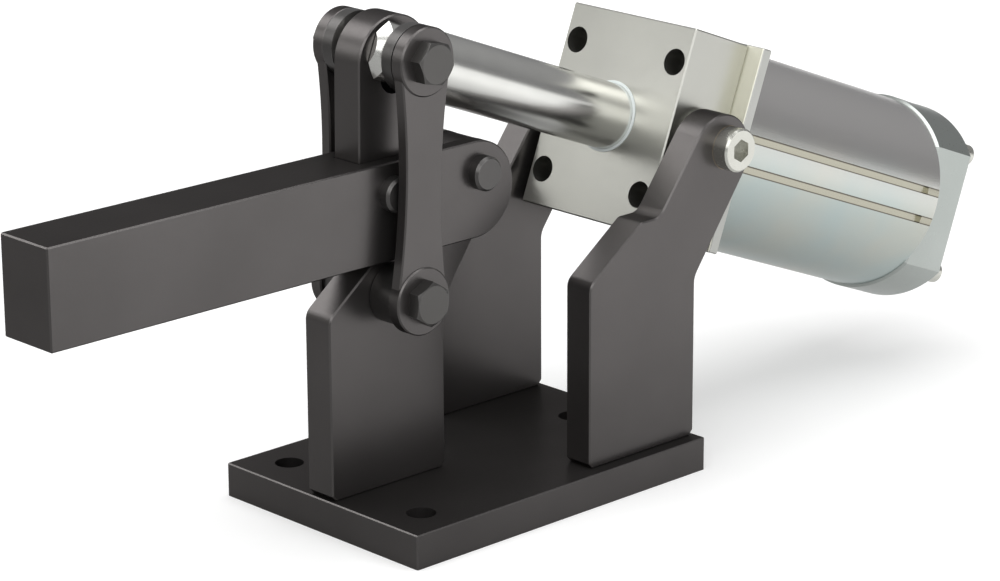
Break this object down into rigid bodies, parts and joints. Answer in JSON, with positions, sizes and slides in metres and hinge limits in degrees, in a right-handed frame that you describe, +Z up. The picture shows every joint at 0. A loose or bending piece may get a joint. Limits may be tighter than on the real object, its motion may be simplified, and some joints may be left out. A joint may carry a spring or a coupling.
{
  "type": "pneumatic power clamp",
  "caption": "Toggle clamp on a base plate: an air cylinder swings on side plates and closes a solid bar arm through links and a lever.",
  "frame": {"origin": "centre of the base plate's underside", "axes": "+X to the rear, towards the cylinder; the clamp arm points along -X; +Z up, away from the mounting surface; -Y is the side of the bolt heads"},
  "size_m": [0.4426, 0.104, 0.1808],
  "materials": {
    "black_steel": "black oxide, satin",
    "pin_steel": "black oxide, turned",
    "bolt_steel": "black oxide, satin",
    "bearing_bronze": "sintered",
    "bare_aluminium": "ground, satin",
    "cover_aluminium": "satin",
    "tube_aluminium": "anodised, satin",
    "cap_aluminium": "satin",
    "zinc_steel": "zinc plated",
    "hard_chrome": "polished",
    "seal_rubber": "matte",
    "wiper_plastic": "matte",
    "guide_plastic": "matte"
  },
  "bodies": {
    "frame": {"base_plate": "black_steel", "web_plate": "black_steel", "side_plate_left": "black_steel", "side_plate_right": "black_steel", "foot_screws": "bolt_steel", "link_pivot_bush": "bearing_bronze", "arm_pivot_bush": "bearing_bronze", "trunnion_bushes": "bearing_bronze"},
    "arm": {"clamp_arm": "black_steel", "arm_pin": "pin_steel", "arm_pin_ring": "pin_steel", "lever_pin": "pin_steel", "lever_pin_ring": "pin_steel"},
    "links": {"link_left": "black_steel", "link_right": "black_steel", "top_bolt": "bolt_steel", "top_nut": "bolt_steel", "top_spacers": "pin_steel", "bottom_bolt": "bolt_steel", "bottom_nut": "bolt_steel", "bottom_spacers": "pin_steel"},
    "lever": {"toggle_lever": "black_steel", "lever_bush": "bearing_bronze"},
    "cylinder": {"trunnion_block": "bare_aluminium", "front_cover": "cover_aluminium", "head_screws": "zinc_steel", "cylinder_tube": "tube_aluminium", "tube_seals": "seal_rubber", "front_bumper": "seal_rubber", "rear_bumper": "seal_rubber", "rear_cap": "cap_aluminium", "cap_screws": "zinc_steel", "trunnion_screws": "zinc_steel", "trunnion_washers": "zinc_steel", "rod_wiper": "wiper_plastic", "rod_seal": "seal_rubber", "rod_bush": "bearing_bronze"},
    "rod": {"piston_rod": "hard_chrome", "piston": "bare_aluminium", "piston_seals": "seal_rubber", "guide_ring": "guide_plastic", "magnet_ring": "guide_plastic", "piston_nut": "zinc_steel"}
  },
  "joints": [
    {"name": "arm_open", "type": "hinge", "parent": "frame", "child": "arm", "pos_m": [-0.0045, 0, 0.12], "axis": [0, 1, 0], "range_deg": [0, 50]},
    {"name": "link_swing", "type": "hinge", "parent": "frame", "child": "links", "pos_m": [-0.0415, 0, 0.083], "axis": [0, 1, 0], "range_deg": [0, 40.85]},
    {"name": "lever_swing", "type": "hinge", "parent": "arm", "child": "lever", "pos_m": [-0.046, 0, 0.1205], "axis": [0, 1, 0], "range_deg": [0, 40.03]},
    {"name": "cylinder_swing", "type": "hinge", "parent": "frame", "child": "cylinder", "pos_m": [0.0865, 0, 0.118], "axis": [0, 1, 0], "range_deg": [0, 0.977]},
    {"name": "rod_stroke", "type": "slide", "parent": "cylinder", "child": "rod", "axis": [0.931, 0, -0.365], "range_m": [0, 0.05864]}
  ],
  "couplings": [
    {"joint": "link_swing", "follows": "arm_open", "ratio": 0.81683},
    {"joint": "lever_swing", "follows": "arm_open", "ratio": 0.8006},
    {"joint": "cylinder_swing", "follows": "arm_open", "ratio": 0.01954},
    {"joint": "rod_stroke", "follows": "arm_open", "m_per_rad": 0.067193}
  ]
}
